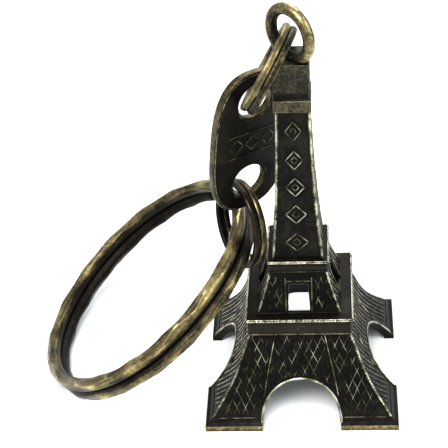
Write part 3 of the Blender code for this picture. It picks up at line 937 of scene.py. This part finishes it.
def antique_bronze(name, base, span=0.0, edge=0.0, mottle=0.55, flecks=0.5, specks=0.0, palette=COOL,
                   seed=0.0):
    """Dark patina rubbed through to olive or gold, as LOOKS explains."""
    finish = bpy.data.materials.new(name)
    finish.use_nodes = True
    nodes, links = finish.node_tree.nodes, finish.node_tree.links
    shader = nodes["Principled BSDF"]
    shader.inputs["Specular IOR Level"].default_value = SPECULAR

    def node(kind, **inputs):
        made = nodes.new(kind)
        for key, value in inputs.items():
            made.inputs[key.replace("_", " ")].default_value = value
        return made

    def math_node(operation, a, b, clamp=False):
        made = nodes.new("ShaderNodeMath")
        made.operation, made.use_clamp = operation, clamp
        for socket, value in zip(made.inputs, (a, b)):
            if isinstance(value, (int, float)):
                socket.default_value = value
            else:
                links.new(value, socket)
        return made.outputs[0]

    def grain(scale, detail):
        made = node("ShaderNodeTexNoise", Scale=scale, Detail=detail, Roughness=0.55)
        links.new(shift.outputs["Vector"], made.inputs["Vector"])
        return made.outputs["Fac"]

    def varied(value, grains, amount):
        """value with a grain added to it, so that it rises in some places and falls in others."""
        centred = math_node("SUBTRACT", grains, 0.5)
        return math_node("ADD", value, math_node("MULTIPLY", centred, amount))

    def by_wear(ends):
        """A value that goes from the first of ends to the second as the wear goes from 0 to 1."""
        made = node("ShaderNodeMapRange", To_Min=ends[0], To_Max=ends[1])
        links.new(wear, made.inputs["Value"])
        return made.outputs["Result"]

    place = nodes.new("ShaderNodeTexCoord").outputs["Object"]
    shift = node("ShaderNodeMapping", Location=(seed, seed * 0.7, -seed))
    links.new(place, shift.inputs["Vector"])
    patch, fleck, fine = grain(PATCH_SCALE, 4.0), grain(FLECK_SCALE, 3.0), grain(FINE_SCALE, 2.0)

    wear = varied(varied(base, patch, mottle), fleck, flecks)
    if specks:
        wear = varied(wear, fine, specks)
    if span:
        rubbed = nodes.new("ShaderNodeAttribute")
        rubbed.attribute_name = "wear"
        wear = math_node("ADD", wear, math_node("MULTIPLY", rubbed.outputs["Fac"], span))
    if edge:
        soft = node("ShaderNodeBevel", Radius=EDGE_WIDTH * MM)
        soft.samples = 6
        turned = nodes.new("ShaderNodeVectorMath")
        turned.operation = "DOT_PRODUCT"
        links.new(soft.outputs["Normal"], turned.inputs[0])
        links.new(nodes.new("ShaderNodeNewGeometry").outputs["Normal"], turned.inputs[1])
        bent = math_node("SUBTRACT", 1.0, turned.outputs["Value"])
        sharp = math_node("MULTIPLY", bent, EDGE_GAIN, clamp=True)
        wear = math_node("ADD", wear, math_node("MULTIPLY", sharp, edge))
    hollow = node("ShaderNodeAmbientOcclusion", Distance=DIRT_DEPTH * MM)
    hollow.samples = 8
    dirt = math_node("SUBTRACT", 1.0, hollow.outputs["AO"])
    wear = math_node("SUBTRACT", wear, math_node("MULTIPLY", dirt, DIRT), clamp=True)

    ramp = nodes.new("ShaderNodeValToRGB")
    ramp_stops = ramp.color_ramp.elements
    for position in STOPS[1:-1]:
        ramp_stops.new(position)
    for stop, position, colour in zip(ramp_stops, STOPS, palette):
        stop.position, stop.color = position, (*colour, 1)
    links.new(wear, ramp.inputs["Fac"])
    links.new(ramp.outputs["Color"], shader.inputs["Base Color"])
    links.new(by_wear(METALLIC), shader.inputs["Metallic"])
    gloss = math_node("MULTIPLY", math_node("SUBTRACT", fleck, 0.5), UNEVEN_GLOSS)
    links.new(math_node("ADD", by_wear(ROUGHNESS), gloss, clamp=True), shader.inputs["Roughness"])

    pits = math_node("ADD", math_node("MULTIPLY", fleck, 0.7), math_node("MULTIPLY", fine, 0.3))
    bump = node("ShaderNodeBump", Strength=PIT_STRENGTH, Distance=PIT_DEPTH * MM)
    links.new(pits, bump.inputs["Height"])
    links.new(bump.outputs["Normal"], shader.inputs["Normal"])
    return finish


# ---- Build the object --------------------------------------------------------------------------
def build_object():
    materials = {name: antique_bronze("bronze_" + name, **look) for name, look in LOOKS.items()}
    casting = tower_casting(materials)
    relief = tower_relief(materials)
    loop = tower_loop(materials["loop"])
    for piece in (casting, *relief, loop):
        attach(piece, "tower")
    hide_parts("tower")

    for body, place, look in (("upper_link", UPPER_LINK, "link"), ("lower_link", LOWER_LINK, "dark_link")):
        link = wire_ring(
            body + "_wire", place, LINK_RADIUS, LINK_PITCH, LINK_STEPS,
            rolled_section(LINK_WIRE, LINK_PITCH), materials[look])
        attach(link, body)
        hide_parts(body)

    tag, ornament = tag_plate(materials["tag"]), tag_ornament(materials["tag_lines"])
    for piece in (tag, ornament):
        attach(piece, "tag_plate")
    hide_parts("tag_plate")

    ring = wire_ring(
        "key_ring_wire", KEY_RING, KEY_RING_RADIUS, KEY_RING_PITCH, KEY_RING_STEPS,
        hammered_section(KEY_RING_WIRE, KEY_RING_PITCH), materials["ring"])
    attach(ring, "key_ring")
    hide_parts("key_ring")


# ---- Floor, light and camera -------------------------------------------------------------------
FLOOR_REACH, FLOOR_COLOUR = 1500, (0.84, 0.86, 0.86)
SKY_COLOUR, SKY_STRENGTH = (0.93, 0.97, 1.0), 0.75
LAMPS_FACE = Vector((-5, 0, 20))
# Lamps: place, size, power and colour
LAMPS = {
    "key": ((-60, -120, 260), 160, 1.1, (1.0, 0.99, 0.97)),
    "fill": ((200, -60, 180), 160, 0.5, (0.97, 0.99, 1.0)),
    "back": ((40, 220, 200), 180, 0.5, (1.0, 1.0, 1.0)),
}
CAMERA_PLACE = Vector((4.443, -129.124, 120.989))
CAMERA_YAW, CAMERA_PITCH = math.radians(5.4635), math.radians(-37.6652)
CAMERA_ROLL = math.radians(-4.3714)
CAMERA_LENS, CAMERA_SENSOR = 121.73, 36


def floor():
    mesh = bpy.data.meshes.new("floor")
    far = FLOOR_REACH * MM
    mesh.from_pydata([(-far, -far, 0), (far, -far, 0), (far, far, 0), (-far, far, 0)], [], [(0, 1, 2, 3)])
    paper = bpy.data.materials.new("white_paper")
    paper.use_nodes = True
    shader = paper.node_tree.nodes["Principled BSDF"]
    shader.inputs["Base Color"].default_value = (*FLOOR_COLOUR, 1)
    shader.inputs["Roughness"].default_value = 0.9
    shader.inputs["Specular IOR Level"].default_value = 0.1
    mesh.materials.append(paper)
    sheet = bpy.data.objects.new("floor", mesh)
    bpy.context.scene.collection.objects.link(sheet)


def studio():
    """A pale sky and soft square lamps that face the object's middle."""
    world = bpy.data.worlds.new("studio")
    world.use_nodes = True
    sky = world.node_tree.nodes["Background"]
    sky.inputs["Color"].default_value = (*SKY_COLOUR, 1)
    sky.inputs["Strength"].default_value = SKY_STRENGTH
    bpy.context.scene.world = world
    for name, (place, size, power, colour) in LAMPS.items():
        light = bpy.data.lights.new(name, "AREA")
        light.size, light.energy, light.color = size * MM, power, colour
        lamp = bpy.data.objects.new(name, light)
        lamp.location = (Vector(place) + TOWER_AXIS) * MM
        lamp.rotation_euler = (LAMPS_FACE - Vector(place)).to_track_quat("-Z", "Y").to_euler()
        bpy.context.scene.collection.objects.link(lamp)
    bpy.context.scene.view_settings.view_transform = "Standard"


def camera():
    lens = bpy.data.cameras.new("camera")
    lens.sensor_width, lens.lens = CAMERA_SENSOR, CAMERA_LENS
    lens.clip_start = 0.01
    item = bpy.data.objects.new("camera", lens)
    facing = (Matrix.Rotation(CAMERA_YAW, 3, "Z") @ Matrix.Rotation(math.pi / 2 + CAMERA_PITCH, 3, "X")
              @ Matrix.Rotation(CAMERA_ROLL, 3, "Z"))
    item.matrix_world = Matrix.Translation((CAMERA_PLACE + TOWER_AXIS) * MM) @ facing.to_4x4()
    bpy.context.scene.collection.objects.link(item)
    bpy.context.scene.camera = item


build_object()
floor()
studio()
camera()
